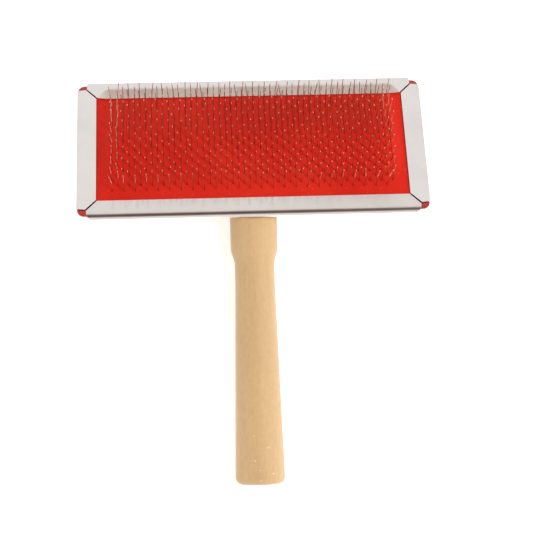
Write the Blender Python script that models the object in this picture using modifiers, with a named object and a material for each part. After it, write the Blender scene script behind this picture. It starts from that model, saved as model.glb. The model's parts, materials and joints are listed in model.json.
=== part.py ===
"""Slicker brush: bent wire pins in a domed, cloth-faced pad, bound to a board by four metal strips.

The head is modelled flat in its own frame: X across, Y up the head and away from the handle, and
Z out of the pins. Z = 0 is the outer face of the strips. The whole brush is then leaned so that
it rests on the handle's end and on the head's far edge, the way it lies on a table, pins up.
"""

import math

import bmesh
import bpy
from mathutils import Matrix, Vector

# The window in the strips that the pad shows through
OPENING_WIDTH = 0.1163
OPENING_HEIGHT = 0.0453

# Metal strips, folded to a C round the board's edge
SIDE_FLANGE = 0.0076
LONG_FLANGE = 0.0065
BACK_FLANGE = 0.0064
STRIP_THICKNESS = 0.00035
HEAD_THICKNESS = 0.0050
FRONT_EDGE_RADIUS = 0.0010
NEAR_EDGE_RADIUS = 0.0019
BACK_EDGE_RADIUS = 0.0031
MITRE_RUN = 0.0040
MITRE_GAP = 0.00045
END_SLANT = 0.38

# Board, cloth and felt
CORNER_RADIUS = 0.0034
BOARD_FRONT_EASE = 0.0003
CLOTH_THICKNESS = 0.0008
CLOTH_CLAMP = 0.0032
DOME_HEIGHT = 0.0029
FELT_EDGE = 0.0005

# Pins: rows of two-legged staples on one crown bar
ROWS = 20
PINS_PER_ROW = 25
SIDE_MARGIN = 0.00609
ROW_MARGIN = 0.004125
WIRE_DIAMETER = 0.0004
CROWN_HEIGHT = 0.0004
LOWER_LEG = 0.0069
UPPER_LEG = 0.0073
LOWER_LEAN = math.radians(8.0)
UPPER_LEAN = math.radians(-6.0)

# Handle, measured along its axis from where its front line leaves the board
HANDLE_ANGLE = math.radians(24.5)
HANDLE_LENGTH = 0.0994
HANDLE_SETBACK = 0.0014
COLLAR_DIAMETER = 0.0177
COLLAR_END = 0.0112
NECK_DIAMETER = 0.0149
NECK_START = 0.0178
NECK_END = 0.0250
END_DIAMETER = 0.0185
END_RADIUS = 0.0026
HEEL_HEIGHT = 0.0022

# Fasteners
SCREW_DIAMETER = 0.0030
SCREW_HEAD_DIAMETER = 0.0056
SCREW_LENGTH = 0.0095
SCREW_SPACING = 0.0130
SCREW_COVER = 0.0020
TACK_DIAMETER = 0.0009
TACK_HEAD_DIAMETER = 0.0024
TACK_HEAD_HEIGHT = 0.00035
TACK_LENGTH = 0.0026
TACKS_LONG = 3
TACKS_SIDE = 2
TACK_END_INSET = 0.0060

# Clearance between pieces that touch on the real brush
GAP = 0.0003
SEGMENTS = 48
ARC_STEPS = 5

# Sizes that follow from the ones above
HALF_X = OPENING_WIDTH / 2 + SIDE_FLANGE
HALF_Y = OPENING_HEIGHT / 2 + LONG_FLANGE
BACK_RADIUS = min(BACK_EDGE_RADIUS, HEAD_THICKNESS - max(FRONT_EDGE_RADIUS, NEAR_EDGE_RADIUS))
LINER = STRIP_THICKNESS + GAP
CLOTH_TOP = -LINER
CLOTH_BACK = CLOTH_TOP - CLOTH_THICKNESS
BOARD_FRONT = CLOTH_BACK - GAP
BOARD_BACK = LINER - HEAD_THICKNESS
BOARD_THICKNESS = BOARD_FRONT - BOARD_BACK
PIN_PITCH = (OPENING_WIDTH - 2 * SIDE_MARGIN) / (PINS_PER_ROW - 0.5)
ROW_PITCH = (OPENING_HEIGHT - 2 * ROW_MARGIN) / (ROWS - 1)
FIELD_LENGTH = (PINS_PER_ROW - 1) * PIN_PITCH + PIN_PITCH / 2 + WIRE_DIAMETER
SLOT_END = FIELD_LENGTH / 2 + GAP


def move_to(obj, collection):
    for owner in list(obj.users_collection):
        owner.objects.unlink(obj)
    collection.objects.link(obj)
    return obj


def make_material(name, colour, roughness, metallic=0.0):
    material = bpy.data.materials.new(name)
    material.use_nodes = True
    shader = material.node_tree.nodes["Principled BSDF"]
    shader.inputs["Base Color"].default_value = (*colour, 1.0)
    shader.inputs["Roughness"].default_value = roughness
    shader.inputs["Metallic"].default_value = metallic
    return material


def object_from(name, bm):
    mesh = bpy.data.meshes.new(name)
    bm.to_mesh(mesh)
    bm.free()
    return bpy.data.objects.new(name, mesh)


def add_part(name, obj, material, parent):
    """Names a finished piece, gives it its own material and hangs it on its parent."""
    obj.name = name
    obj.data.name = name
    obj.data.materials.clear()
    obj.data.materials.append(material)
    obj.parent = parent
    move_to(obj, parts)
    return obj


def add_cutter(name, obj, parent):
    obj.name = name
    obj.parent = parent
    obj.hide_render = True
    obj.display_type = "WIRE"
    move_to(obj, cutters)
    return obj


def cut(obj, cutter):
    boolean = obj.modifiers.new(cutter.name, "BOOLEAN")
    boolean.operation = "DIFFERENCE"
    boolean.solver = "EXACT"
    boolean.object = cutter


def box(low, high):
    """A box between two corners, its origin left at the frame's."""
    bm = bmesh.new()
    bmesh.ops.create_cube(bm, size=1.0)
    low, high = Vector(low), Vector(high)
    bmesh.ops.scale(bm, vec=high - low, verts=bm.verts)
    bmesh.ops.translate(bm, vec=(low + high) / 2, verts=bm.verts)
    return bm


def turned(name, profile, steps=SEGMENTS):
    """A solid of revolution about Z from (radius, height) points, listed top to bottom."""
    mesh = bpy.data.meshes.new(name)
    points = [(radius, 0.0, height) for radius, height in profile]
    mesh.from_pydata(points, [(i, i + 1) for i in range(len(points) - 1)], [])
    obj = bpy.data.objects.new(name, mesh)
    screw = obj.modifiers.new("Turn", "SCREW")
    screw.steps = steps
    screw.render_steps = steps
    screw.use_merge_vertices = True
    screw.merge_threshold = 1e-5
    screw.use_smooth_shade = True
    return obj


def arc(centre, radius, start, end, steps=ARC_STEPS):
    """Points on an arc in a plane, from one angle to another in degrees."""
    points = []
    for i in range(steps + 1):
        angle = math.radians(start + (end - start) * i / steps)
        points.append((centre[0] + radius * math.cos(angle), centre[1] + radius * math.sin(angle)))
    return points


def dome(x, y):
    """Height of the cloth over its clamped edge: a raised cosine up the head, level along a row.

    Past the last pins it runs down to nothing at the short edges of the opening.
    """
    if abs(x) >= OPENING_WIDTH / 2 or abs(y) >= OPENING_HEIGHT / 2:
        return 0.0
    runout = max(0.0, (abs(x) - SLOT_END) / (OPENING_WIDTH / 2 - SLOT_END))
    along = math.cos(math.pi / 2 * runout) ** 2
    return DOME_HEIGHT * along * math.cos(math.pi * y / OPENING_HEIGHT) ** 2


def dome_slope(y):
    """Rise of the dome per unit of Y, on a pin row."""
    return -DOME_HEIGHT * math.pi / OPENING_HEIGHT * math.sin(2 * math.pi * y / OPENING_HEIGHT)


def spaced(inner, outer, inner_steps, outer_steps):
    """Grid lines from -outer to outer: even inside +-inner, and closer together outside it."""
    middle = [inner * (2 * i / inner_steps - 1) for i in range(inner_steps + 1)]
    edge = [inner + (outer - inner) * (i + 1) / outer_steps for i in range(outer_steps)]
    return [-value for value in reversed(edge)] + middle + edge


def height_grid(xs, ys, height):
    """A grid of faces over the given lines, raised by a function of place."""
    bm = bmesh.new()
    bmesh.ops.create_grid(bm, x_segments=len(xs) - 1, y_segments=len(ys) - 1, size=1.0)
    for vert in bm.verts:
        column = round((vert.co.x + 1) / 2 * (len(xs) - 1))
        row = round((vert.co.y + 1) / 2 * (len(ys) - 1))
        x, y = xs[column], ys[row]
        vert.co = (x, y, height(x, y))
    return bm


def make_board(parent, material):
    bm = box(
        (LINER - HALF_X, LINER - HALF_Y, BOARD_BACK),
        (HALF_X - LINER, HALF_Y - LINER, BOARD_FRONT),
    )
    uprights = [e for e in bm.edges if abs(e.verts[0].co.z - e.verts[1].co.z) > 1e-6]
    bmesh.ops.bevel(
        bm, geom=uprights, offset=CORNER_RADIUS, segments=ARC_STEPS, affect="EDGES", profile=0.5
    )
    back_rim = [e for e in bm.edges if all(v.co.z < BOARD_BACK + 1e-6 for v in e.verts)]
    radius = min(BACK_RADIUS - LINER, BOARD_THICKNESS - BOARD_FRONT_EASE)
    bmesh.ops.bevel(
        bm, geom=back_rim, offset=radius, segments=ARC_STEPS, affect="EDGES", profile=0.5
    )
    return add_part("base_board", object_from("base_board", bm), material, parent)


def strip_profile(flange, front_radius):
    """The strip's outer line in section, as (distance out from the opening, height)."""
    points = [(0.0, 0.0), (MITRE_RUN, 0.0)]
    points += arc((flange - front_radius, -front_radius), front_radius, 90, 0)
    points += arc((flange - BACK_RADIUS, BACK_RADIUS - HEAD_THICKNESS), BACK_RADIUS, 0, -90)
    points.append((flange - BACK_FLANGE, -HEAD_THICKNESS))
    line = [points[0]]
    for point in points[1:]:
        if math.dist(point, line[-1]) > 1e-6:
            line.append(point)
    return line


def make_strip(name, opening, flange, front_radius, slant, turn, parent, material):
    """A C-section strip with ends mitred on the front.

    Past the mitre an end is square, or slants in by a share of its depth below the front.
    """
    opening_length, opening_depth = opening
    profile = strip_profile(flange, front_radius)
    bm = bmesh.new()
    chain = []
    for out, height in profile:
        end = opening_length / 2 + min(out, MITRE_RUN) - MITRE_GAP / math.sqrt(2) + slant * height
        chain.append(bm.verts.new((-end, -opening_depth / 2 - out, height)))
    edges = [bm.edges.new(pair) for pair in zip(chain, chain[1:])]
    swept = bmesh.ops.extrude_edge_only(bm, edges=edges)["geom"]
    for vert in [item for item in swept if isinstance(item, bmesh.types.BMVert)]:
        vert.co.x = -vert.co.x
    bmesh.ops.recalc_face_normals(bm, faces=bm.faces)
    middle = max(bm.faces, key=lambda face: face.calc_center_median().z)
    if middle.normal.z < 0:
        bmesh.ops.reverse_faces(bm, faces=bm.faces)
    obj = object_from(name, bm)
    wall = obj.modifiers.new("Wall", "SOLIDIFY")
    wall.thickness = STRIP_THICKNESS
    wall.offset = -1.0
    wall.use_even_offset = True
    obj.rotation_euler = (0.0, 0.0, turn)
    return add_part(name, obj, material, parent)


def make_cloth(parent, material):
    xs = spaced(SLOT_END, OPENING_WIDTH / 2, 4, 5)
    ys = spaced(0.38 * OPENING_HEIGHT, OPENING_HEIGHT / 2, 16, 4)
    for lines, half in ((xs, OPENING_WIDTH / 2), (ys, OPENING_HEIGHT / 2)):
        lines.insert(0, -half - CLOTH_CLAMP)
        lines.append(half + CLOTH_CLAMP)
    bm = height_grid(xs, ys, lambda x, y: CLOTH_TOP + dome(x, y))
    obj = object_from("cloth_pad", bm)
    wall = obj.modifiers.new("Wall", "SOLIDIFY")
    wall.thickness = CLOTH_THICKNESS
    wall.offset = -1.0
    wall.use_even_offset = True
    add_part("cloth_pad", obj, material, parent)
    slots = bmesh.new()
    half_width = WIRE_DIAMETER / 2 + GAP
    reach = 2 * CLOTH_THICKNESS
    for frame in row_frames():
        made = bmesh.ops.create_cube(slots, size=1.0)["verts"]
        bmesh.ops.scale(slots, vec=(2 * SLOT_END, 2 * half_width, 2 * reach), verts=made)
        bmesh.ops.transform(slots, matrix=frame, verts=made)
    cut(obj, add_cutter("pin_slots", object_from("pin_slots", slots), parent))
    return obj


def make_felt(parent, material):
    """A lens of felt that lifts the cloth, flat against the board."""
    floor = BOARD_FRONT + GAP
    lift = CLOTH_BACK - GAP
    edge_rise = floor + FELT_EDGE - lift
    half_y = OPENING_HEIGHT / math.pi * math.acos(math.sqrt(edge_rise / DOME_HEIGHT))
    half_x = SLOT_END - FELT_EDGE
    xs = [-half_x, 0.0, half_x]
    ys = [half_y * (2 * i / 14 - 1) for i in range(15)]
    bm = height_grid(xs, ys, lambda x, y: lift + dome(x, y))
    rim = bmesh.ops.extrude_face_region(bm, geom=list(bm.faces))["geom"]
    for vert in [item for item in rim if isinstance(item, bmesh.types.BMVert)]:
        vert.co.z = floor
    bmesh.ops.recalc_face_normals(bm, faces=bm.faces)
    return add_part("cushion_felt", object_from("cushion_felt", bm), material, parent)


def row_frames():
    """Each pin row's frame: on the cloth's face, turned square to the dome there."""
    frames = []
    for row in range(ROWS):
        y = (row - (ROWS - 1) / 2) * ROW_PITCH
        place = Matrix.Translation((0.0, y, CLOTH_TOP + dome(0.0, y)))
        frames.append(place @ Matrix.Rotation(math.atan(dome_slope(y)), 4, "X"))
    return frames


def make_comb(parent):
    """One row: a crown bar level with the cloth, and a bent leg at every pitch along it."""
    curve = bpy.data.curves.new("pin_legs", "CURVE")
    curve.dimensions = "3D"
    curve.bevel_depth = WIRE_DIAMETER / 2
    curve.bevel_resolution = 0
    curve.use_fill_caps = True
    bar_z = -CLOTH_THICKNESS / 2
    knee = (LOWER_LEG * math.sin(LOWER_LEAN), LOWER_LEG * math.cos(LOWER_LEAN))
    tip = (
        knee[0] + UPPER_LEG * math.sin(UPPER_LEAN),
        knee[1] + UPPER_LEG * math.cos(UPPER_LEAN),
    )
    for i in range(PINS_PER_ROW):
        x = (i - (PINS_PER_ROW - 1) / 2) * PIN_PITCH
        spline = curve.splines.new("POLY")
        spline.points.add(2)
        places = [(0.0, bar_z), knee, tip]
        for point, (y, z) in zip(spline.points, places):
            point.co = (x, y, z, 1.0)
    legs = bpy.data.objects.new("pin_legs", curve)
    move_to(legs, cutters)
    solid_legs = mesh_from_curve(legs)
    half = ((PINS_PER_ROW - 1) * PIN_PITCH + WIRE_DIAMETER) / 2
    bar = box(
        (-half, -WIRE_DIAMETER / 2, bar_z - CROWN_HEIGHT / 2),
        (half, WIRE_DIAMETER / 2, bar_z + CROWN_HEIGHT / 2),
    )
    bar_obj = object_from("crown_bar", bar)
    add_cutter("crown_bar", bar_obj, parent)
    add_cutter("pin_legs", solid_legs, parent)
    union = bar_obj.modifiers.new("Legs", "BOOLEAN")
    union.operation = "UNION"
    union.solver = "EXACT"
    union.object = solid_legs
    bpy.context.view_layer.update()
    evaluated = bar_obj.evaluated_get(bpy.context.evaluated_depsgraph_get())
    return bpy.data.meshes.new_from_object(evaluated)


def mesh_from_curve(obj):
    """The same solid as a mesh, with its caps welded to its sides."""
    bpy.context.view_layer.update()
    evaluated = obj.evaluated_get(bpy.context.evaluated_depsgraph_get())
    mesh = bpy.data.meshes.new_from_object(evaluated)
    bm = bmesh.new()
    bm.from_mesh(mesh)
    bmesh.ops.remove_doubles(bm, verts=bm.verts, dist=1e-6)
    bmesh.ops.recalc_face_normals(bm, faces=bm.faces)
    bm.to_mesh(mesh)
    bm.free()
    made = bpy.data.objects.new(obj.name, mesh)
    made.matrix_world = obj.matrix_world.copy()
    bpy.data.objects.remove(obj)
    return made


def make_pin_rows(parent, material):
    comb = make_comb(parent)
    comb.materials.clear()
    comb.materials.append(material)
    for row, frame in enumerate(row_frames()):
        shift = PIN_PITCH / 4 * (1 if row % 2 else -1)
        obj = bpy.data.objects.new(f"pin_row_{row + 1:02d}", comb)
        obj.parent = parent
        obj.matrix_local = frame @ Matrix.Translation((shift, 0.0, 0.0))
        parts.objects.link(obj)


def handle_frame():
    """The handle's axis: Z runs down to its free end, from where its front line leaves the board."""
    down = Vector((0.0, -math.cos(HANDLE_ANGLE), -math.sin(HANDLE_ANGLE)))
    back = Vector((0.0, math.sin(HANDLE_ANGLE), -math.cos(HANDLE_ANGLE)))
    start = Vector((0.0, HANDLE_SETBACK - HALF_Y, BOARD_BACK - GAP))
    centre = start + back * COLLAR_DIAMETER / 2
    turn = Matrix((Vector((1.0, 0.0, 0.0)), back, down)).transposed().to_4x4()
    return Matrix.Translation(centre) @ turn


def make_handle(parent, material):
    neck, collar, end = NECK_DIAMETER / 2, COLLAR_DIAMETER / 2, END_DIAMETER / 2
    heel = (COLLAR_DIAMETER * math.cos(HANDLE_ANGLE) - HEEL_HEIGHT) / math.sin(HANDLE_ANGLE)
    rim = HANDLE_LENGTH - END_RADIUS
    swell = (end - neck) / (rim - NECK_END)
    outline = [(0.0, HANDLE_LENGTH)]
    outline += arc((end - END_RADIUS, rim), END_RADIUS, 90, 0, 6)
    for share in (0.75, 0.5, 0.25, 0.0):
        z = NECK_END + share * (rim - NECK_END)
        outline.append((neck + swell * (z - NECK_END), z))
    taper_steps = 6
    for i in range(taper_steps + 1):
        share = i / taper_steps
        blend = 0.5 - 0.5 * math.cos(math.pi * share)
        z = NECK_START + share * (COLLAR_END - NECK_START)
        outline.append((neck + blend * (collar - neck), z))
    outline += [(collar, -heel), (0.0, -heel)]
    obj = turned("handle", outline)
    add_part("handle", obj, material, parent)
    obj.matrix_local = handle_frame()
    seat = BOARD_BACK - GAP
    reach = 4 * COLLAR_DIAMETER
    room = box((-reach, HANDLE_SETBACK - 2 * HALF_Y, seat), (reach, 3 * HALF_Y, seat + reach))
    cut(obj, add_cutter("board_seat", object_from("board_seat", room), parent))
    strip_edge = BACK_FLANGE + GAP - HALF_Y
    rebate = box(
        (-reach, -3 * HALF_Y, -HEAD_THICKNESS - GAP),
        (reach, strip_edge, seat + reach),
    )
    cut(obj, add_cutter("strip_rebate", object_from("strip_rebate", rebate), parent))
    return obj


def screw_places():
    """Y of each screw: the far one where the slanted handle still covers its tip, with wood to spare."""
    foot = HANDLE_SETBACK - HALF_Y
    buried = SCREW_LENGTH - BOARD_THICKNESS + SCREW_COVER
    far = foot + COLLAR_DIAMETER / math.sin(HANDLE_ANGLE) - buried / math.tan(HANDLE_ANGLE)
    clear_of_strip = BACK_FLANGE - HALF_Y + SCREW_DIAMETER / 2 + 2 * GAP
    return [max(far - SCREW_SPACING, clear_of_strip), far]


def make_screws(parent, material, board, handle):
    """Countersunk wood screws, driven from under the felt, through the board, into the handle."""
    shank, head = SCREW_DIAMETER / 2, SCREW_HEAD_DIAMETER / 2
    sink = head - shank
    tip = SCREW_LENGTH - 2 * shank
    profile = [(0.0, 0.0), (head, 0.0), (shank, -sink), (shank, -tip), (0.0, -SCREW_LENGTH)]
    grown = shank + GAP
    spread = head + GAP * math.tan(math.radians(67.5))
    pilot = [
        (0.0, GAP),
        (spread + GAP, GAP),
        (grown, GAP + grown - spread - GAP),
        (grown, -SCREW_LENGTH - GAP),
        (0.0, -SCREW_LENGTH - GAP),
    ]
    for number, y in enumerate(screw_places(), 1):
        screw = turned(f"handle_screw_{number}", profile, 20)
        add_part(f"handle_screw_{number}", screw, material, parent)
        screw.location = (0.0, y, BOARD_FRONT)
        hole = add_cutter(f"screw_hole_{number}", turned("hole", pilot, 20), parent)
        hole.location = (0.0, y, BOARD_FRONT)
        cut(board, hole)
        cut(handle, hole)


def tack_places():
    """Centres of the tacks, as (x, y), in the middle of the flat part of each back flange."""
    flat_end = max(BACK_RADIUS, TACK_HEAD_DIAMETER / 2)
    inset = (BACK_FLANGE + flat_end) / 2
    half_row = OPENING_WIDTH / 2 - TACK_END_INSET
    places = []
    for side in (-1, 1):
        for i in range(TACKS_LONG):
            share = 2 * i / (TACKS_LONG - 1) - 1
            x = share * half_row
            if side > 0 or abs(x) > COLLAR_DIAMETER:
                places.append((x, side * (HALF_Y - inset)))
    for side in (-1, 1):
        for i in range(TACKS_SIDE):
            share = 2 * i / (TACKS_SIDE - 1) - 1
            places.append((side * (HALF_X - inset), share * OPENING_HEIGHT / 4))
    return places


def make_tacks(parent, material, board, strips):
    """Round-headed tacks through the back flanges into the board."""
    shank, head = TACK_DIAMETER / 2, TACK_HEAD_DIAMETER / 2
    length = min(TACK_LENGTH, LINER + BOARD_THICKNESS - 2 * GAP)
    seat = -HEAD_THICKNESS - GAP
    profile = [
        (0.0, length),
        (shank, length - shank),
        (shank, 0.0),
    ]
    for radius, drop in arc((0.0, 0.0), 1.0, 0, 90, 3):
        profile.append((radius * head, -drop * TACK_HEAD_HEIGHT))
    hole_profile = [
        (0.0, length + GAP),
        (shank + GAP, length + GAP),
        (shank + GAP, -GAP),
        (0.0, -GAP),
    ]
    for number, (x, y) in enumerate(tack_places(), 1):
        tack = turned(f"strip_tack_{number:02d}", profile, 16)
        add_part(f"strip_tack_{number:02d}", tack, material, parent)
        tack.location = (x, y, seat)
        hole = add_cutter(f"tack_hole_{number:02d}", turned("hole", hole_profile, 12), parent)
        hole.location = (x, y, seat)
        cut(board, hole)
        nearest = min(strips, key=lambda strip: strip_distance(strip, x, y))
        cut(nearest, hole)


def strip_distance(strip, x, y):
    """How far a place is from a strip's own edge of the head."""
    side = 1 if strip.name.endswith(("right", "top")) else -1
    if strip.name.endswith(("left", "right")):
        return abs(x - side * HALF_X)
    return abs(y - side * HALF_Y)


def resting_lean():
    """Angle of the line that touches the head's far back edge and the handle's lower rim."""
    frame = handle_frame()
    far = Vector((HALF_Y - BACK_RADIUS, BACK_RADIUS - HEAD_THICKNESS))
    rim = frame @ Vector((0.0, END_DIAMETER / 2 - END_RADIUS, HANDLE_LENGTH - END_RADIUS))
    span = far - Vector((rim.y, rim.z))
    return math.atan2(span.y, span.x) - math.asin((BACK_RADIUS - END_RADIUS) / span.length)


def settle(root):
    """Leans the brush into its resting pose and stands it at the middle of its own footprint."""
    root.rotation_euler = (-resting_lean(), 0.0, 0.0)
    bpy.context.view_layer.update()
    graph = bpy.context.evaluated_depsgraph_get()
    low, high = Vector((1e9,) * 3), Vector((-1e9,) * 3)
    for obj in parts.objects:
        evaluated = obj.evaluated_get(graph)
        for vert in evaluated.data.vertices:
            place = evaluated.matrix_world @ vert.co
            low = Vector(map(min, low, place))
            high = Vector(map(max, high, place))
    root.location = (-(low.x + high.x) / 2, -(low.y + high.y) / 2, -low.z)
    bpy.context.view_layer.update()


def build():
    root = bpy.data.objects.new("resting_pose", None)
    bpy.context.scene.collection.objects.link(root)
    lacquer = make_material("red_lacquer", (0.36, 0.02, 0.015), 0.22)
    tinplate = make_material("bright_tinplate", (0.80, 0.78, 0.75), 0.18, 1.0)
    rubber = make_material("red_rubber_cloth", (0.62, 0.03, 0.02), 0.55)
    felt = make_material("grey_felt", (0.35, 0.34, 0.32), 0.95)
    wire = make_material("pin_wire", (0.62, 0.55, 0.50), 0.25, 1.0)
    wood = make_material("clear_lacquered_wood", (0.72, 0.48, 0.24), 0.38)
    screw_steel = make_material("zinc_screw", (0.55, 0.55, 0.52), 0.35, 1.0)
    tack_steel = make_material("tack_steel", (0.60, 0.58, 0.55), 0.3, 1.0)
    board = make_board(root, lacquer)
    across, upright = (OPENING_WIDTH, OPENING_HEIGHT), (OPENING_HEIGHT, OPENING_WIDTH)
    strips = []
    for name, opening, flange, front_radius, slant, turn in (
        ("frame_strip_bottom", across, LONG_FLANGE, NEAR_EDGE_RADIUS, END_SLANT, 0.0),
        ("frame_strip_top", across, LONG_FLANGE, FRONT_EDGE_RADIUS, END_SLANT, math.pi),
        ("frame_strip_right", upright, SIDE_FLANGE, FRONT_EDGE_RADIUS, 0.0, math.pi / 2),
        ("frame_strip_left", upright, SIDE_FLANGE, FRONT_EDGE_RADIUS, 0.0, -math.pi / 2),
    ):
        strips.append(
            make_strip(name, opening, flange, front_radius, slant, turn, root, tinplate)
        )
    make_felt(root, felt)
    make_cloth(root, rubber)
    make_pin_rows(root, wire)
    handle = make_handle(root, wood)
    make_screws(root, screw_steel, board, handle)
    make_tacks(root, tack_steel, board, strips)
    settle(root)


for old in list(bpy.data.objects):
    bpy.data.objects.remove(old)
parts = bpy.data.collections.new("slicker_brush")
cutters = bpy.data.collections.new("cutters")
bpy.context.scene.collection.children.link(parts)
bpy.context.scene.collection.children.link(cutters)
build()
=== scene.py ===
"""Slicker brush lying pins up: tin-bound head, domed cloth pad, bent wire pins, turned handle."""

import json
import math

import bpy
import numpy as np
from mathutils import Euler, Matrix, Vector


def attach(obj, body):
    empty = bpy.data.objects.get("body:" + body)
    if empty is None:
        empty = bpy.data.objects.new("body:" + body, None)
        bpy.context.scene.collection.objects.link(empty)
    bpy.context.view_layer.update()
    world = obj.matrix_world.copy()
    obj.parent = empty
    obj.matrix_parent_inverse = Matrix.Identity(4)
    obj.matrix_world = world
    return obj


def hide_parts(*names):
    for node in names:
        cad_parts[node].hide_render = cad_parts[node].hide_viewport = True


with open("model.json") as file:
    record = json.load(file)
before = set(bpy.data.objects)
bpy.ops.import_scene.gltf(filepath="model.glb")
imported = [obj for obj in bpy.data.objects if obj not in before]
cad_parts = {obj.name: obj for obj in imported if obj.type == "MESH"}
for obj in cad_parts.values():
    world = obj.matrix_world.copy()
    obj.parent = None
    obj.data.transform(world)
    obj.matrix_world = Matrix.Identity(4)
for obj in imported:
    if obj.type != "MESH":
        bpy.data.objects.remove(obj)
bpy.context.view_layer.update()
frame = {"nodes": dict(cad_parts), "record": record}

MM = 0.001

FLOOR_HALF = 3.0

# Camera: where it stands, how it is turned in degrees, and its lens
CAMERA_PLACE = (-0.02475, -0.05420, 0.63759)
CAMERA_TURN = (5.425, -2.514, -1.671)
LENS_MM = 113.4
SENSOR_MM = 36.0

# Strips: the folded section
TIN = 0.35 * MM
FRONT_FOLD = 1.0 * MM
NEAR_FOLD = 1.9 * MM
BACK_FOLD = 3.1 * MM
BACK_FLANGE = 6.4 * MM
FRONT_REACH = 0.7 * MM  # how far a long strip's front fold stands out past its back fold
TIN_BOW = 0.02 * MM
STATIONS = 150

# Strips: their ends
MITRE_RUN = 4.0 * MM
MITRE_GAP = 0.55 * MM
LONG_END_SLANT = 0.38
SIDE_END_SLANT = 0.25
END_ROUNDING = 1.9 * MM
SIDE_SETBACK = 2.3 * MM
LONG_SETBACK = 1.6 * MM

# Strips: the slopes of the two long fronts, and the crease that bounds the top one's
TOP_DIP = 0.140
NEAR_DIP = -0.055
CREASE_INSET = 0.6 * MM
CREASE_RUN = 6 * MM
CREASE_SOFTNESS = 0.25 * MM

# Board; heights are counted down from the strips' front
CORNER = 2.4 * MM
LINER = 0.65 * MM
BOARD_FRONT_DROP = 1.75 * MM
BOARD_RIM_DROP = 0.6 * MM
BOARD_RIM = 2.4 * MM
BOARD_EASE = 0.35 * MM

# Pad
CLOTH = 0.8 * MM
CLOTH_UNDER = 3.2 * MM
DOME = 2.9 * MM
TOP_PRESS = 0.52 * MM
PRESS_INNER = 2.4 * MM
PRESS_OUTER = 3.5 * MM
RIPPLE = 0.05 * MM
PIT_DEPTH, PIT_WIDTH = 0.16 * MM, 0.36 * MM
RING_HEIGHT, RING_WIDTH = 0.05 * MM, 0.8 * MM
PUCKER_REACH = 1.6 * MM
PAD_COLUMNS, PAD_ROWS = 330, 136

# Pins
ROWS = 20
PINS = 25
SIDE_MARGIN = 6.09 * MM
ROW_MARGIN = 4.125 * MM
WIRE = 0.27 * MM
LOWER_LEG = 6.9 * MM
UPPER_LEG = 7.3 * MM
LOWER_LEAN = math.radians(8.0)
UPPER_LEAN = math.radians(-6.0)
BEND = 1.3 * MM
TILT_X_SPREAD = 0.018
TILT_Y_SPREAD = 0.022
LENGTH_SPREAD = 0.014
TWIST_SPREAD = 0.038

# Glints: which share of a wire's height is painted paler, and how strongly. In the nearest row they
# grow with the pins' distance from the middle; in the others only the first and last pin has one.
GLINT_FROM, GLINT_TO = 0.45, 0.93
GLINT_RUN = 8.0
GLINT_NEAREST = 0.9
GLINT_ENDS = (0.75, 0.45)

# Handle; lengths run along its axis from where its front line leaves the board
COLLAR_R = 8.85 * MM
COLLAR_END = 11.2 * MM
NECK_R = 7.45 * MM
NECK_START = 17.8 * MM
NECK_END = 25.0 * MM
END_R = 9.25 * MM
END_ROUND = 2.6 * MM
HEEL = 2.2 * MM
SETBACK = 1.4 * MM
SEAT_GAP = 0.3 * MM
FOOT_END = 4 * MM
LATHE_WOBBLE = 0.04 * MM


# ---------------------------------------------------------------- places from the frame

def mount(name):
    """A mount's place and axis from the record."""
    found = [m for m in frame["record"]["mounts"] if m["name"] == name][0]
    return np.array(found["pos_m"]), np.array(found["axis"])


def lean_of(node):
    """How far the head leans back: the tilt of a strip's largest face, its front flange."""
    mesh = frame["nodes"][node].data
    area, normal = np.empty(len(mesh.polygons)), np.empty(len(mesh.polygons) * 3)
    mesh.polygons.foreach_get("area", area)
    mesh.polygons.foreach_get("normal", normal)
    normal = normal.reshape(-1, 3)
    largest = normal[np.argmax(np.where(normal[:, 2] > 0.5, area, 0.0))]
    return math.atan2(largest[1], largest[2])


LEAN = lean_of("frame_strip_left")
HEAD_TURN = np.array([
    [1.0, 0.0, 0.0],
    [0.0, math.cos(LEAN), math.sin(LEAN)],
    [0.0, -math.sin(LEAN), math.cos(LEAN)],
])


def unleaned(node):
    """Lowest and highest corner of a CAD node, measured square to the leaned head."""
    mesh = frame["nodes"][node].data
    points = np.empty(len(mesh.vertices) * 3)
    mesh.vertices.foreach_get("co", points)
    points = points.reshape(-1, 3) @ HEAD_TURN
    return points.min(axis=0), points.max(axis=0)


LEFT_LOW, LEFT_HIGH = unleaned("frame_strip_left")
RIGHT_LOW, RIGHT_HIGH = unleaned("frame_strip_right")
BOTTOM_LOW, BOTTOM_HIGH = unleaned("frame_strip_bottom")
TOP_LOW, TOP_HIGH = unleaned("frame_strip_top")
HEAD_AT = np.array([
    (LEFT_LOW[0] + RIGHT_HIGH[0]) / 2, (BOTTOM_LOW[1] + TOP_HIGH[1]) / 2, LEFT_HIGH[2],
])
WINDOW_X = (RIGHT_LOW[0] - LEFT_HIGH[0]) / 2
WINDOW_Y = (TOP_LOW[1] - BOTTOM_HIGH[1]) / 2
HALF_X = (RIGHT_HIGH[0] - LEFT_LOW[0]) / 2
HALF_Y = (TOP_HIGH[1] - BOTTOM_LOW[1]) / 2
THICK = LEFT_HIGH[2] - LEFT_LOW[2]
PIN_PITCH = (2 * WINDOW_X - 2 * SIDE_MARGIN) / (PINS - 0.5)
ROW_PITCH = (2 * WINDOW_Y - 2 * ROW_MARGIN) / (ROWS - 1)
FIELD_END = WINDOW_X - SIDE_MARGIN + WIRE / 2 + SEAT_GAP


def to_row(points):
    """Points given square to the head, about the middle of its window, placed in the row frame."""
    return (points + HEAD_AT) @ HEAD_TURN.T


# ---------------------------------------------------------------- mesh makers

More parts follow.
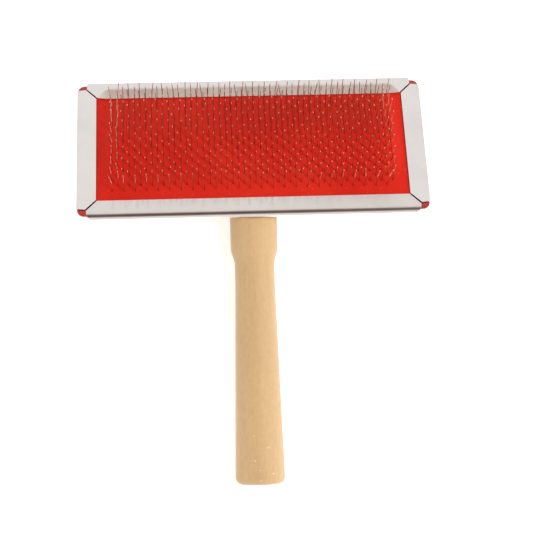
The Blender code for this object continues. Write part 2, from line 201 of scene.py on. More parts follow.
def piece(name, points, faces, material):
    """An object at the origin from a point array and a face list, riding on the root body."""
    mesh = bpy.data.meshes.new(name)
    mesh.from_pydata(points.reshape(-1, 3).tolist(), [], faces)
    mesh.polygons.foreach_set("use_smooth", np.full(len(mesh.polygons), True))
    mesh.update()
    obj = bpy.data.objects.new(name, mesh)
    bpy.context.scene.collection.objects.link(obj)
    mesh.materials.append(material)
    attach(obj, "root")
    return obj


def quads(rows, columns, closed=False, start=0):
    """Faces of a grid stored row by row; a closed grid joins its last column to its first."""
    c = np.arange(columns if closed else columns - 1)
    r, c = [a.ravel() for a in np.meshgrid(np.arange(rows - 1), c, indexing="ij")]
    here, next_row, c2 = r * columns, (r + 1) * columns, (c + 1) % columns
    corners = np.stack([here + c, here + c2, next_row + c2, next_row + c], axis=1)
    return (corners + start).tolist()


def arc(centre, radius, start, end, steps):
    """Points on a circle's arc between two angles in degrees."""
    angle = np.radians(np.linspace(start, end, steps + 1))
    return np.array(centre) + radius * np.stack([np.cos(angle), np.sin(angle)], axis=1)


def wobble(a, b, seed):
    """A gentle unevenness: five long sine waves of two parameters, with seeded directions."""
    rng = np.random.default_rng(seed)
    total = np.zeros(np.broadcast(a, b).shape)
    for _ in range(5):
        ka, kb = rng.uniform(-1.0, 1.0, 2)
        total += np.sin(ka * a + kb * b + rng.uniform(0, 2 * math.pi)) / 5
    return total


# ---------------------------------------------------------------- materials

class Nodes:
    """A material's node tree, with short calls to add and join nodes."""

    def __init__(self, name):
        self.material = bpy.data.materials.new(name)
        self.material.use_nodes = True
        self.tree = self.material.node_tree
        self.shader = self.tree.nodes["Principled BSDF"]

    def add(self, kind, **values):
        """A new node; each value goes to the input of that name, or else to the node's property."""
        node = self.tree.nodes.new(kind)
        for key, value in values.items():
            if key in node.inputs:
                node.inputs[key].default_value = value
            else:
                setattr(node, key, value)
        return node

    def join(self, output, target):
        self.tree.links.new(output, target)

    def object_coords(self, scale=(1.0, 1.0, 1.0), turn=(0.0, 0.0, 0.0)):
        coords = self.add("ShaderNodeTexCoord")
        mapping = self.add("ShaderNodeMapping", Scale=scale, Rotation=turn)
        self.join(coords.outputs["Object"], mapping.inputs["Vector"])
        return mapping.outputs["Vector"]

    def noise(self, vector, scale, detail=4.0, roughness=0.55):
        noise = self.add("ShaderNodeTexNoise", Scale=scale, Detail=detail, Roughness=roughness)
        self.join(vector, noise.inputs["Vector"])
        return noise.outputs["Fac"]

    def ramp(self, factor, stops):
        ramp = self.add("ShaderNodeValToRGB")
        elements = ramp.color_ramp.elements
        while len(elements) < len(stops):
            elements.new(0.5)
        for element, (place, colour) in zip(elements, stops):
            element.position = place
            element.color = (*colour, 1.0)
        self.join(factor, ramp.inputs["Fac"])
        return ramp.outputs["Color"]

    def grey_ramp(self, factor, low, high, start=0.3, end=0.7):
        return self.ramp(factor, [(start, (low,) * 3), (end, (high,) * 3)])

    def mix(self, factor, first, second, blend="MIX"):
        mix = self.add("ShaderNodeMix", data_type="RGBA", blend_type=blend)
        pairs = zip((factor, first, second), (mix.inputs[0], mix.inputs[6], mix.inputs[7]))
        for value, socket in pairs:
            if isinstance(value, bpy.types.NodeSocket):
                self.join(value, socket)
            else:
                socket.default_value = value
        return mix.outputs[2]

    def bump(self, height, strength, distance, under=None):
        bump = self.add("ShaderNodeBump", Strength=strength, Distance=distance)
        self.join(height, bump.inputs["Height"])
        if under is not None:
            self.join(under, bump.inputs["Normal"])
        return bump.outputs["Normal"]

    def finish(self, colour=None, roughness=None, normal=None, **constants):
        """Joins or sets the shader's main inputs, and sets constants named after its sockets."""
        for value, name in ((colour, "Base Color"), (roughness, "Roughness"), (normal, "Normal")):
            if isinstance(value, bpy.types.NodeSocket):
                self.join(value, self.shader.inputs[name])
            elif value is not None:
                self.shader.inputs[name].default_value = value
        for key, value in constants.items():
            self.shader.inputs[key.replace("_", " ")].default_value = value
        return self.material


def tinplate(along, worn=False):
    """Bright rolled tinplate: faint lines along the strip, soft smudges, a slightly warm white. The
    worn one grows duller to the right of the middle.
    """
    n = Nodes(f"tinplate_{along}_worn" if worn else f"tinplate_{along}")
    stretch = (0.04, 1.0, 1.0) if along == "x" else (1.0, 0.04, 0.04)
    lines = n.noise(n.object_coords(stretch), 5200.0, 2.0)
    smudges = n.noise(n.object_coords(), 95.0, 5.0)
    colour = n.ramp(smudges, [(0.3, (0.80, 0.785, 0.765)), (0.7, (0.875, 0.86, 0.845))])
    roughness = n.grey_ramp(smudges, 0.13, 0.23)
    if worn:
        split = n.add("ShaderNodeSeparateXYZ")
        n.join(n.object_coords((8.0, 8.0, 8.0)), split.inputs["Vector"])
        wear = n.ramp(split.outputs["X"], [(0.0, (0.0,) * 3), (0.45, (1.0,) * 3)])
        roughness = n.mix(wear, n.grey_ramp(smudges, 0.15, 0.22), (0.25, 0.25, 0.25, 1.0))
    normal = n.bump(lines, 0.06, 0.00002)
    return n.finish(colour, roughness, normal, Metallic=1.0)


def red_cloth():
    """Rubber-faced cloth: a saturated red with a fine speckle, pale flecks of talc and a soft
    grain, with painted shade, nearly black red, where the strips cover it.
    """
    n = Nodes("red_rubber_cloth")
    coords = n.object_coords()
    broad = n.noise(coords, 40.0, 3.0)
    base = n.ramp(broad, [(0.3, (0.59, 0.018, 0.010)), (0.7, (0.67, 0.026, 0.013))])
    grain = n.noise(coords, 2600.0, 3.0)
    speckle = n.grey_ramp(grain, 0.80, 1.0, 0.35, 0.55)
    colour = n.mix(1.0, base, speckle, "MULTIPLY")
    flecks = n.add("ShaderNodeTexVoronoi", Scale=420.0)
    n.join(coords, flecks.inputs["Vector"])
    spots = n.grey_ramp(flecks.outputs["Distance"], 0.55, 0.0, 0.03, 0.11)
    colour = n.mix(spots, colour, (0.86, 0.16, 0.09, 1.0))
    # painted shade: the cloth under the strips is mixed to nearly black red
    under = n.add("ShaderNodeAttribute", attribute_name="shade_under_strip")
    colour = n.mix(under.outputs["Fac"], colour, (0.06, 0.004, 0.004, 1.0))
    normal = n.bump(grain, 0.35, 0.00012)
    return n.finish(colour, n.grey_ramp(grain, 0.60, 0.78), normal, Specular_IOR_Level=0.08)


def lacquered_board():
    """Dark red lacquer over wood, glossy, with a thin orange-peel ripple and worn dull patches."""
    n = Nodes("red_lacquer")
    coords = n.object_coords()
    peel = n.noise(coords, 900.0, 2.0)
    wear = n.noise(coords, 70.0, 6.0)
    grain = n.noise(n.object_coords((0.05, 1.0, 1.0)), 1500.0, 4.0)
    colour = n.ramp(wear, [(0.3, (0.30, 0.010, 0.008)), (0.7, (0.46, 0.018, 0.012))])
    colour = n.mix(1.0, colour, n.grey_ramp(grain, 0.82, 1.0), "MULTIPLY")
    normal = n.bump(grain, 0.25, 0.00004, n.bump(peel, 0.2, 0.00006))
    roughness = n.grey_ramp(wear, 0.12, 0.28)
    return n.finish(colour, roughness, normal, Coat_Weight=0.6, Coat_Roughness=0.08)


def pin_wire():
    """Drawn steel wire, browned and dull, with a pale painted highlight at its tip. Wires marked to
    glint are paler.
    """
    n = Nodes("pin_wire")
    coords = n.object_coords()
    tone = n.noise(coords, 260.0, 3.0)
    colour = n.ramp(tone, [(0.3, (0.32, 0.055, 0.028)), (0.7, (0.48, 0.120, 0.050))])
    glint = n.add("ShaderNodeAttribute", attribute_name="glint")
    colour = n.mix(glint.outputs["Fac"], colour, (1.0, 0.80, 0.60, 1.0))
    height = n.add("ShaderNodeAttribute", attribute_name="along_wire")
    # painted highlight: the top few hundredths of each wire's height are mixed towards a pale pink
    tip_highlight = n.grey_ramp(height.outputs["Fac"], 0.0, 0.9, 0.94, 0.97)
    colour = n.mix(tip_highlight, colour, (0.90, 0.66, 0.54, 1.0))
    return n.finish(colour, n.grey_ramp(tone, 0.36, 0.52), None, Metallic=0.45)


def plain_steel(name, low, high, rough):
    """Small bright hardware with a faint mottled plating."""
    n = Nodes(name)
    mottle = n.noise(n.object_coords(), 700.0, 4.0)
    colour = n.ramp(mottle, [(0.3, low), (0.7, high)])
    roughness = n.grey_ramp(mottle, rough, rough + 0.12)
    return n.finish(colour, roughness, n.bump(mottle, 0.1, 0.00002), Metallic=1.0)


def felt():
    """Pressed grey felt: a matted fibre grain."""
    n = Nodes("pressed_felt")
    fibre = n.noise(n.object_coords(), 1800.0, 8.0, 0.7)
    colour = n.ramp(fibre, [(0.3, (0.30, 0.28, 0.26)), (0.7, (0.46, 0.44, 0.41))])
    return n.finish(colour, 0.95, n.bump(fibre, 0.6, 0.0003), Sheen_Weight=0.4)


def turned_wood():
    """Pale close-grained wood under clear lacquer. The grain runs along the handle's own axis, and
    a few small painted highlights, pale specks, sit on the upper side near the end.
    """
    n = Nodes("clear_lacquered_wood")
    own = n.add("ShaderNodeAttribute", attribute_name="turned")

    def stretched(scale):
        mapping = n.add("ShaderNodeMapping", Scale=scale)
        n.join(own.outputs["Vector"], mapping.inputs["Vector"])
        return mapping.outputs["Vector"]

    bands = n.noise(stretched((1.0, 1.0, 0.035)), 170.0, 4.0, 0.5)
    fine = n.noise(stretched((1.0, 1.0, 0.02)), 1500.0, 3.0, 0.6)
    cloud = n.noise(stretched((1.0, 1.0, 0.5)), 55.0, 2.0)
    flecks = n.noise(stretched((1.0, 1.0, 0.12)), 1900.0, 1.0)
    mottle = n.noise(stretched((1.0, 1.0, 0.6)), 800.0, 3.0)
    base = n.ramp(bands, [
        (0.25, (0.59, 0.395, 0.20)), (0.5, (0.62, 0.42, 0.215)), (0.75, (0.655, 0.45, 0.24)),
    ])
    colour = n.mix(1.0, base, n.grey_ramp(fine, 0.965, 1.0, 0.3, 0.6), "MULTIPLY")
    colour = n.mix(1.0, colour, n.grey_ramp(mottle, 0.93, 1.0, 0.35, 0.65), "MULTIPLY")
    colour = n.mix(1.0, colour, n.grey_ramp(cloud, 0.93, 1.0), "MULTIPLY")
    colour = n.mix(n.grey_ramp(flecks, 0.0, 0.18, 0.66, 0.74), colour, (0.36, 0.19, 0.07, 1.0))
    # painted highlights: pale specks mixed into the colour on the upper side near the end
    highlight_specks = n.add("ShaderNodeTexVoronoi", Scale=330.0)
    n.join(own.outputs["Vector"], highlight_specks.inputs["Vector"])
    split = n.add("ShaderNodeSeparateXYZ")
    n.join(stretched((1.0, -100.0, 10.0)), split.inputs["Vector"])
    low_end = n.grey_ramp(split.outputs["Z"], 0.0, 1.0, 0.79, 0.83)
    upward = n.grey_ramp(split.outputs["Y"], 0.0, 1.0, 0.72, 0.80)
    sparkle = n.grey_ramp(highlight_specks.outputs["Distance"], 0.55, 0.0, 0.04, 0.13)
    sparkle = n.mix(1.0, n.mix(1.0, sparkle, low_end, "MULTIPLY"), upward, "MULTIPLY")
    colour = n.mix(sparkle, colour, (1.0, 0.93, 0.80, 1.0))
    normal = n.bump(fine, 0.12, 0.00005)
    return n.finish(
        colour, n.grey_ramp(bands, 0.44, 0.54), normal,
        Coat_Weight=0.15, Coat_Roughness=0.3, Specular_IOR_Level=0.3,
    )


def floor_paper():
    """Seamless white paper: all but even, with the least of tooth."""
    n = Nodes("white_paper")
    tooth = n.noise(n.object_coords(), 300.0, 4.0)
    colour = n.ramp(tooth, [(0.0, (0.93, 0.93, 0.93)), (1.0, (0.95, 0.95, 0.95))])
    return n.finish(
        colour, 0.9, None,
        Specular_IOR_Level=0.1, Emission_Color=(1, 1, 1, 1), Emission_Strength=0.56,
    )


# ---------------------------------------------------------------- strips

def strip_line(flange, fold, reach):
    """The strip's outer line in section: front flange, front fold, back fold and back flange. The
    front fold may reach out past the back one.

    Each point is (distance out from the window's edge, height), the height counted down from 0.
    """
    flat = np.linspace(0.0, MITRE_RUN, 9)
    run = np.stack([flat, np.zeros(9)], axis=1)
    back_fold = min(BACK_FOLD, THICK - fold)
    front = arc((flange + reach - fold, -fold), fold, 90, 0, 10)
    back = arc((flange - back_fold, back_fold - THICK), back_fold, 0, -90, 12)[1:]
    tail = np.array([[flange - BACK_FLANGE, -THICK]])
    return np.concatenate([run, front, back, tail])


def strip(
    name, half, flange, fold, quarter_turns, material, node, seed, setback, slant,
    reach=0.0, dip=0.0,
):
    """A folded strip: its section is carried along the head's edge between ends that are cut on the
    mitre near the window and square beyond it. Towards the outer edge the end draws back along a
    quarter of an ellipse, and it slants in with depth. The tin bows by a few hundredths of a
    millimetre. A positive dip presses the front flange in towards the window: a slope that starts
    at a soft crease short of the fold, and the crease curves in to the window's corner at each end.
    A negative dip slopes the whole flange down towards its fold.
    """
    half_length, half_depth = half
    outer = strip_line(flange, fold, reach)
    edge = flange + reach
    step = np.gradient(outer, axis=0)
    inward = np.stack([step[:, 1], -step[:, 0]], axis=1)
    inward /= np.linalg.norm(inward, axis=1, keepdims=True)
    loop = np.concatenate([outer, (outer + inward * TIN)[::-1]])
    out_at = np.concatenate([outer[:, 0], outer[::-1, 0]])
    depth = np.concatenate([outer[:, 1], outer[::-1, 1]])

    past = np.clip((out_at - edge) / END_ROUNDING + 1, 0, 1)
    end = half_length + np.minimum(out_at, MITRE_RUN) - MITRE_GAP / math.sqrt(2)
    end = end - setback * (1 - np.sqrt(1 - past**2)) + slant * depth
    share = np.sin(np.linspace(-1.0, 1.0, STATIONS) * math.pi / 2)
    x = share[:, None] * end[None, :]
    y = -(half_depth + np.broadcast_to(loop[:, 0], x.shape))

    bow = wobble(x * 90.0, loop[None, :, 0] * 400.0, seed) * TIN_BOW
    from_window = np.clip((out_at - 0.2 * MM) / MM, 0, 1)
    from_fold = np.clip((BACK_FLANGE * 1.6 - out_at) / MM, 0, 1)
    z = np.broadcast_to(loop[:, 1], x.shape) - np.abs(bow) * from_window * from_fold
    if dip > 0:
        on_front = loop[:, 1] > -0.9 * TIN - 0.25 * fold
        near_end = np.clip((half_length - np.abs(x)) / CREASE_RUN, 0, 1)
        crease = (edge - fold - CREASE_INSET) * np.sin(near_end * math.pi / 2)
        inside = np.clip(crease - out_at, 0, None)
        z = z - dip * on_front * (np.sqrt(inside**2 + CREASE_SOFTNESS**2) - CREASE_SOFTNESS)
    else:
        z = z + dip * np.minimum(out_at, edge - fold)

    turn = quarter_turns * math.pi / 2
    cos, sin = math.cos(turn), math.sin(turn)
    points = np.stack([x, y, z], axis=2).reshape(-1, 3) @ [[cos, sin, 0], [-sin, cos, 0], [0, 0, 1]]
    columns = len(loop)
    faces = quads(len(share), columns, closed=True)
    i = np.arange(len(outer) - 1)
    lid = np.stack([i, columns - 1 - i, columns - 2 - i, i + 1], axis=1)
    faces += lid[:, ::-1].tolist() + (lid + (len(share) - 1) * columns).tolist()
    made = piece(name, to_row(points), faces, material)
    made.data.set_sharp_from_angle(angle=math.radians(50))
    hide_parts(node)


def strips():
    """The four strips, counter-clockwise from the bottom, each turned a quarter further."""
    across, near, upright = tinplate("x"), tinplate("x", worn=True), tinplate("y")
    long, side = HALF_Y - WINDOW_Y, HALF_X - WINDOW_X
    wide, tall = (WINDOW_X, WINDOW_Y), (WINDOW_Y, WINDOW_X)
    strip("tin_strip_bottom", wide, long, NEAR_FOLD, 0, near, "frame_strip_bottom", 3,
          LONG_SETBACK, LONG_END_SLANT, FRONT_REACH, NEAR_DIP)
    strip("tin_strip_right", tall, side, FRONT_FOLD, 1, upright, "frame_strip_right", 5,
          SIDE_SETBACK, SIDE_END_SLANT)
    strip("tin_strip_top", wide, long, FRONT_FOLD, 2, across, "frame_strip_top", 7,
          LONG_SETBACK, LONG_END_SLANT, FRONT_REACH, TOP_DIP)
    strip("tin_strip_left", tall, side, FRONT_FOLD, 3, upright, "frame_strip_left", 9,
          SIDE_SETBACK, SIDE_END_SLANT)


# ---------------------------------------------------------------- board

def rounded_outline(half_x, half_y, radius):
    """Corner by corner round a rounded rectangle, counter-clockwise from the lower right."""
    radius = max(radius, 0.02 * MM)
    corners = []
    for turn, (sx, sy) in enumerate(((1, -1), (1, 1), (-1, 1), (-1, -1))):
        centre = (sx * (half_x - radius), sy * (half_y - radius))
        corners.append(arc(centre, radius, turn * 90 - 90, turn * 90, 10))
    return np.concatenate(corners)


def board():
    """The board: a rounded rectangle carried round a section with a raised rim, an eased front edge
    and a quarter-round back edge. Each ring is the outline drawn in by the section's inset.
    """
    front, back = -BOARD_RIM_DROP, LINER - THICK
    round_back = front - back - BOARD_EASE
    section = np.concatenate([
        [[BOARD_RIM + 0.2 * MM, -BOARD_FRONT_DROP], [BOARD_RIM, front]],
        arc((BOARD_EASE, front - BOARD_EASE), BOARD_EASE, 90, 180, 4),
        arc((round_back, back + round_back), round_back, 180, 270, 10),
        [[3.0 * MM, back]],
    ])
    rings = []
    for inset, height in section:
        line = rounded_outline(HALF_X - LINER - inset, HALF_Y - LINER - inset, CORNER - inset)
        rings.append(np.column_stack([line, np.full(len(line), height)]))
    points = np.stack(rings)
    rows, columns = points.shape[:2]
    faces = [face[::-1] for face in quads(rows, columns, closed=True)]
    faces.append(list(range(columns)))
    faces.append(list(range(rows * columns - 1, (rows - 1) * columns - 1, -1)))
    points = to_row(points.reshape(-1, 3))
    made = piece("lacquered_board", points, faces, lacquered_board())
    made.data.set_sharp_from_angle(angle=math.radians(40))
    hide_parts("base_board")


# ---------------------------------------------------------------- pad

def dome(x, y):
    """Rise of the pad: a squared cosine up the head, level along a row and run out to nothing, as a
    squared cosine again, between the last pins and the side strips.
    """
    runout = np.clip((np.abs(x) - FIELD_END) / (WINDOW_X - FIELD_END), 0.0, 1.0)
    height = DOME * np.cos(math.pi / 2 * runout) ** 2 * np.cos(math.pi * y / (2 * WINDOW_Y)) ** 2
    return np.where((np.abs(x) < WINDOW_X) & (np.abs(y) < WINDOW_Y), height, 0.0)


def pressed(x, y):
    """How far the top strip presses the cloth down: most at its edge, fading away to both sides and
    towards the window's corners.
    """
    near_end = np.clip((WINDOW_X - np.abs(x)) / CREASE_RUN, 0.0, 1.0)
    inner = np.clip((y - WINDOW_Y) / PRESS_INNER + 1, 0.0, 1.0)
    outer = np.clip(1 - (y - WINDOW_Y) / PRESS_OUTER, 0.0, 1.0)
    return TOP_PRESS * np.sin(near_end * math.pi / 2) * inner**2 * (3 - 2 * inner) * outer


def dome_slope(y):
    """How steeply the level part of the dome rises up the head."""
    return -DOME * math.pi / (2 * WINDOW_Y) * np.sin(math.pi * y / WINDOW_Y)


def row_at(row):
    """Where a row of pins stands: its Y, and each pin's X, every other row moved half a pitch."""
    shift = PIN_PITCH / 4 * (1 if row % 2 else -1)
    x = (np.arange(PINS) - (PINS - 1) / 2) * PIN_PITCH + shift
    return (row - (ROWS - 1) / 2) * ROW_PITCH, x


def pad():
    """The cloth as a height field: the dome less the top strip's press, a low ripple, and a pucker
    round each wire where it comes through, a pit inside a slight ring. The same sheet a cloth's
    thickness lower, but held above the board, closes it.
    """
    xs = np.linspace(-WINDOW_X - CLOTH_UNDER, WINDOW_X + CLOTH_UNDER, PAD_COLUMNS)
    ys = np.linspace(-WINDOW_Y - CLOTH_UNDER, WINDOW_Y + CLOTH_UNDER, PAD_ROWS)
    x, y = np.meshgrid(xs, ys, indexing="ij")
    top = dome(x, y) - LINER - pressed(x, y)
    loose = np.clip(dome(x, y) / (0.4 * MM), 0, 1)
    top = top + wobble(x * 500, y * 700, 11) * RIPPLE * loose
    for row in range(ROWS):
        row_y, row_x = row_at(row)
        near = np.abs(ys - row_y) < PUCKER_REACH
        away = (x[:, near, None] - row_x) ** 2 + (y[:, near, None] - row_y) ** 2
        pit = -PIT_DEPTH * np.exp(-away / PIT_WIDTH**2)
        ring = RING_HEIGHT * np.exp(-away / RING_WIDTH**2)
        top[:, near] += (pit + ring).sum(axis=2)
    upper = np.stack([x, y, top], axis=2)
    lower = upper - [0.0, 0.0, CLOTH]
    lower[..., 2] = np.maximum(lower[..., 2], 0.02 * MM - BOARD_FRONT_DROP)
    rows, columns = x.shape
    count = rows * columns
    faces = [face[::-1] for face in quads(rows, columns)] + quads(rows, columns, start=count)
    edge = np.concatenate([
        np.arange(columns - 1),
        np.arange(1, rows) * columns - 1,
        count - 1 - np.arange(columns - 1),
        (rows - 1 - np.arange(rows - 1)) * columns,
    ])
    after = np.roll(edge, -1)
    faces += np.stack([edge, after, after + count, edge + count], axis=1).tolist()
    points = to_row(np.concatenate([upper.reshape(-1, 3), lower.reshape(-1, 3)]))
    made = piece("red_pad_cloth", points, faces, red_cloth())
    # marks the cloth under the strips, where its material paints shade
    under = (np.abs(x) > WINDOW_X + 0.2 * MM) | (np.abs(y) > WINDOW_Y + 0.2 * MM)
    shares = np.tile(under.ravel().astype(float), 2)
    made.data.attributes.new("shade_under_strip", "FLOAT", "POINT").data.foreach_set("value", shares)
    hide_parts("cloth_pad")


# ---------------------------------------------------------------- pins

def bent_wire(rings=9):
    """The pin's centre line in its own upright plane: the lean turns smoothly from the lower leg's
    to the upper leg's across the bend. Gives each ring's place along Y, its height and its lean.
    """
    length = LOWER_LEG + UPPER_LEG
    fine = np.linspace(0.0, length, 400)
    blend = np.clip((fine - LOWER_LEG + BEND) / (2 * BEND), 0, 1)
    lean = LOWER_LEAN + (UPPER_LEAN - LOWER_LEAN) * (3 * blend**2 - 2 * blend**3)
    step = fine[1] - fine[0]
    along = np.cumsum(np.sin(lean)) * step
    up = np.cumsum(np.cos(lean)) * step
    inside = np.linspace(LOWER_LEG - BEND, LOWER_LEG + BEND, rings - 4)
    at = np.concatenate([[0.0], inside, [length - 0.45 * MM, length - 0.06 * MM, length]])
    return np.interp(at, fine, along), np.interp(at, fine, up), np.interp(at, fine, lean)


def pin_rows(sides=6):
    """Rows of round wires, each a six-sided tube swept along the bent line and standing square to
    the dome. Every pin leans, twists and stands a little differently, from one seeded draw.
    """
    material = pin_wire()
    rng = np.random.default_rng(20)
    along, up, lean = bent_wire()
    rings = len(along)
    radius = np.full(rings, WIRE / 2)
    radius[-1] = 0.6 * WIRE / 2
    around = 2 * math.pi * (np.arange(sides) + 0.5) / sides
    side_y = radius[:, None] * np.sin(around)
    own_x = radius[:, None] * np.cos(around)
    own_y = along[:, None] + side_y * np.cos(lean)[:, None]
    own_z = up[:, None] - side_y * np.sin(lean)[:, None] - CLOTH / 2
    share = np.tile(np.repeat(up / up[-1], sides), PINS)
    upper_leg = (share > GLINT_FROM) * (share < GLINT_TO)
    faces = []
    for start in range(0, PINS * rings * sides, rings * sides):
        faces += quads(rings, sides, closed=True, start=start)
        faces.append(list(range(start + sides - 1, start - 1, -1)))
        faces.append(list(range(start + (rings - 1) * sides, start + rings * sides)))
    for row in range(ROWS):
        row_y, row_x = row_at(row)
        tilt_x = rng.normal(0.0, TILT_X_SPREAD, (PINS, 1, 1))
        tilt_y = rng.normal(0.0, TILT_Y_SPREAD, (PINS, 1, 1))
        stretch = 1.0 + rng.normal(0.0, LENGTH_SPREAD, (PINS, 1, 1))
        twist_x = rng.normal(0.0, TWIST_SPREAD, (PINS, 1, 1))
        z = own_z[None] * stretch
        past_bend = np.clip(z - LOWER_LEG, 0.0, None)
        x = own_x[None] + tilt_x * z + twist_x * past_bend + row_x[:, None, None]
        y = own_y[None] + tilt_y * z
        slope = math.atan(dome_slope(row_y))
        cos, sin = math.cos(slope), math.sin(slope)
        foot_z = float(dome(np.array(0.0), np.array(row_y))) - LINER
        points = np.stack([x, row_y + y * cos - z * sin, foot_z + y * sin + z * cos], axis=3)
        points = to_row(points.reshape(-1, 3))
        number = f"{row + 1:02d}"
        made = piece(f"wire_row_{number}", points, faces, material)
        if row == 0:
            from_middle = np.abs(np.arange(PINS) - (PINS - 1) / 2)
            caught = np.clip(from_middle / GLINT_RUN - 0.5, 0.0, GLINT_NEAREST)
        else:
            caught = np.zeros(PINS)
            caught[[0, -1]] = GLINT_ENDS
        glint = np.repeat(caught, rings * sides) * upper_leg
        for attribute, values in (("along_wire", share), ("glint", glint)):
            made.data.attributes.new(attribute, "FLOAT", "POINT").data.foreach_set("value", values)
        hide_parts(f"pin_row_{number}")


# ---------------------------------------------------------------- handle

def handle_radius(s):
    """Radius along the handle: level collar, a smooth step in to the neck, and a straight swell."""
    end_at = HANDLE_LENGTH - END_ROUND
    step = np.clip((s - COLLAR_END) / (NECK_START - COLLAR_END), 0.0, 1.0)
    collar = NECK_R + (COLLAR_R - NECK_R) * (0.5 + 0.5 * np.cos(math.pi * step))
    swell = NECK_R + (END_R - NECK_R) * np.clip((s - NECK_END) / (end_at - NECK_END), 0.0, 1.0)
    radius = np.where(s < NECK_START, collar, swell)
    into = np.clip((s - end_at) / END_ROUND, 0.0, 1.0)
    return radius - END_ROUND * (1 - np.sqrt(1 - into**2))


END_PLACE, END_AXIS = mount("handle_end")
HANDLE_DOWN = (END_AXIS @ HEAD_TURN) / np.linalg.norm(END_AXIS)
HANDLE_ANGLE = math.atan2(-HANDLE_DOWN[2], -HANDLE_DOWN[1])
HANDLE_BACK = np.array([0.0, math.sin(HANDLE_ANGLE), -math.cos(HANDLE_ANGLE)])
SEAT = LINER - THICK - SEAT_GAP
HANDLE_TOP = np.array([0.0, SETBACK - HALF_Y, SEAT]) + HANDLE_BACK * COLLAR_R
END_IN_HEAD = END_PLACE @ HEAD_TURN - HEAD_AT
HANDLE_LENGTH = float((END_IN_HEAD - HANDLE_TOP) @ HANDLE_DOWN)


def handle(around=96):
    """Rings across the handle's axis, each a circle; where the ring meets the board, the part above
    the seat is cut off by a straight chord. The seat steps down to let the back flange pass. Most
    of a ring's points share out its arc and the rest its chord, or the rest of an uncut circle.
    """
    heel = -(2 * COLLAR_R * math.cos(HANDLE_ANGLE) - HEEL) / math.sin(HANDLE_ANGLE)
    end_at = HANDLE_LENGTH - END_ROUND
    rebate = (SETBACK - BACK_FLANGE - SEAT_GAP) / math.cos(HANDLE_ANGLE)
    rounding = HANDLE_LENGTH - END_ROUND * (1 - np.sin(np.linspace(0, math.pi / 2, 12)))
    s = np.concatenate([
        [heel, heel + 0.25 * MM, heel + 0.6 * MM],
        np.linspace(heel + 1.2 * MM, rebate - 0.02 * MM, 26),
        np.linspace(rebate + 0.02 * MM, COLLAR_END, 18),
        np.linspace(COLLAR_END, NECK_START, 14)[1:],
        np.linspace(NECK_START, end_at, 40)[1:-1],
        rounding,
    ])
    radius = handle_radius(s)
    radius[:2] -= [0.35 * MM, 0.1 * MM]
    radius = radius + wobble(s * 160, s * 40, 17) * LATHE_WOBBLE * (s > 0)
    foot_drop = (THICK + SEAT_GAP + SEAT) * (s > rebate) * (s < FOOT_END)
    chord = COLLAR_R + s * math.tan(HANDLE_ANGLE) - foot_drop / math.cos(HANDLE_ANGLE)
    half_open = np.arccos(np.clip(-chord / radius, -1.0, 1.0))
    arc_turn = 0.72
    place = np.arange(around)
    on_arc = place < arc_turn * around
    arc_points = on_arc.sum()
    arc_share = np.where(on_arc, place / (arc_points - 1), 0.0)
    flat_share = np.where(on_arc, 0.0, (place - arc_points + 1) / (around - arc_points + 1))
    corner = np.minimum(half_open, arc_turn * math.pi)[:, None]
    rest = corner + 2 * (math.pi - corner) * flat_share
    angle = np.where(on_arc, corner * (2 * arc_share - 1), rest)
    x = radius[:, None] * np.sin(angle)
    b = np.maximum(radius[:, None] * np.cos(angle), -chord[:, None])
    straight = radius[:, None] * np.sin(half_open)[:, None] * (1 - 2 * flat_share)
    x = np.where(~on_arc & (half_open < arc_turn * math.pi)[:, None], straight, x)
    along = np.broadcast_to(s[:, None], x.shape)
    own = np.stack([x, b, along], axis=2).reshape(-1, 3)
    head = HANDLE_TOP + own @ np.stack([[1.0, 0.0, 0.0], HANDLE_BACK, HANDLE_DOWN])
    rows = len(s)
    faces = quads(rows, around, closed=True)
    faces.append(list(range(around - 1, -1, -1)))
    faces.append(list(range((rows - 1) * around, rows * around)))
    made = piece("turned_handle", to_row(head), faces, turned_wood())
    turned = made.data.attributes.new("turned", "FLOAT_VECTOR", "POINT")
    turned.data.foreach_set("vector", own.ravel())
    made.data.set_sharp_from_angle(angle=math.radians(38))
    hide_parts("handle")


# ---------------------------------------------------------------- kept nodes, stage and lights

def kept_nodes():
    """The small hardware and the hidden felt keep their CAD shape and get their finishes."""
    tack = plain_steel("tack_steel", (0.55, 0.53, 0.50), (0.75, 0.73, 0.70), 0.22)
    screw = plain_steel("zinc_screw", (0.50, 0.50, 0.48), (0.68, 0.68, 0.65), 0.3)
    for name, node in frame["nodes"].items():
        if name.startswith("strip_tack"):
            node.data.materials[0] = tack
        elif name.startswith("handle_screw"):
            node.data.materials[0] = screw
        elif name == "cushion_felt":
            node.data.materials[0] = felt()


def area_light(name, place, aim, size, watts, colour=(1.0, 1.0, 1.0)):
    """A rectangular light turned to its aim. Its own mirror image is kept off the glossy pieces."""
    light = bpy.data.lights.new(name, "AREA")
    light.shape = "RECTANGLE"
    light.size, light.size_y = size
    light.energy = watts
    light.color = colour
    obj = bpy.data.objects.new(name, light)
    obj.location = place
    obj.rotation_euler = (Vector(aim) - Vector(place)).to_track_quat("-Z", "Y").to_euler()
    obj.visible_glossy = False
    bpy.context.scene.collection.objects.link(obj)


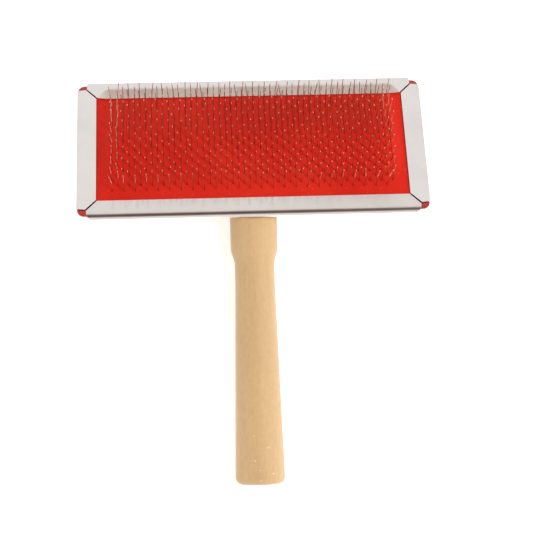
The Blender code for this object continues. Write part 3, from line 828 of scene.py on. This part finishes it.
def stage():
    """A white floor, a small key and a broad soft light, both high on the right, and a pale studio
    whose ceiling is darker than its walls.
    """
    corners = np.array([[-1, -1, 0], [1, -1, 0], [1, 1, 0], [-1, 1, 0]]) * FLOOR_HALF
    mesh = bpy.data.meshes.new("floor")
    mesh.from_pydata(corners.tolist(), [], [(0, 1, 2, 3)])
    mesh.materials.append(floor_paper())
    floor = bpy.data.objects.new("floor", mesh)
    bpy.context.scene.collection.objects.link(floor)
    middle = (0.0, 0.02, 0.02)
    area_light("key", (0.32, 0.01, 0.96), middle, (0.10, 0.10), 4.9, (1.0, 0.985, 0.97))
    area_light("overhead", (0.70, -0.15, 1.5), middle, (1.6, 1.6), 7.6)
    world = bpy.data.worlds.new("studio")
    bpy.context.scene.world = world
    world.use_nodes = True
    tree = world.node_tree
    coords = tree.nodes.new("ShaderNodeTexCoord")
    split = tree.nodes.new("ShaderNodeSeparateXYZ")
    ramp = tree.nodes.new("ShaderNodeValToRGB")
    tones = [
        (0.0, (0.86, 0.83, 0.82)), (0.45, (0.86, 0.83, 0.82)), (0.66, (0.94, 0.91, 0.90)),
        (0.722, (0.94, 0.91, 0.90)), (0.735, (0.52, 0.41, 0.33)), (0.84, (0.46, 0.36, 0.29)),
        (0.95, (0.15, 0.11, 0.11)), (1.0, (0.10, 0.07, 0.075)),
    ]
    while len(ramp.color_ramp.elements) < len(tones):
        ramp.color_ramp.elements.new(0.5)
    for element, (place, tone) in zip(ramp.color_ramp.elements, tones):
        element.position = place
        element.color = (*tone, 1.0)
    tree.links.new(coords.outputs["Generated"], split.inputs["Vector"])
    tree.links.new(split.outputs["Z"], ramp.inputs["Fac"])
    tree.links.new(ramp.outputs["Color"], tree.nodes["Background"].inputs["Color"])
    tree.nodes["Background"].inputs["Strength"].default_value = 1.0


def camera():
    """The one camera, with no depth of field."""
    data = bpy.data.cameras.new("camera")
    data.lens = LENS_MM
    data.sensor_width = SENSOR_MM
    data.clip_start = 0.05
    obj = bpy.data.objects.new("camera", data)
    obj.location = CAMERA_PLACE
    obj.rotation_euler = Euler([math.radians(angle) for angle in CAMERA_TURN])
    bpy.context.scene.collection.objects.link(obj)
    bpy.context.scene.camera = obj


bpy.context.scene.view_settings.view_transform = "Standard"
camera()
strips()
board()
pad()
pin_rows()
handle()
kept_nodes()
stage()
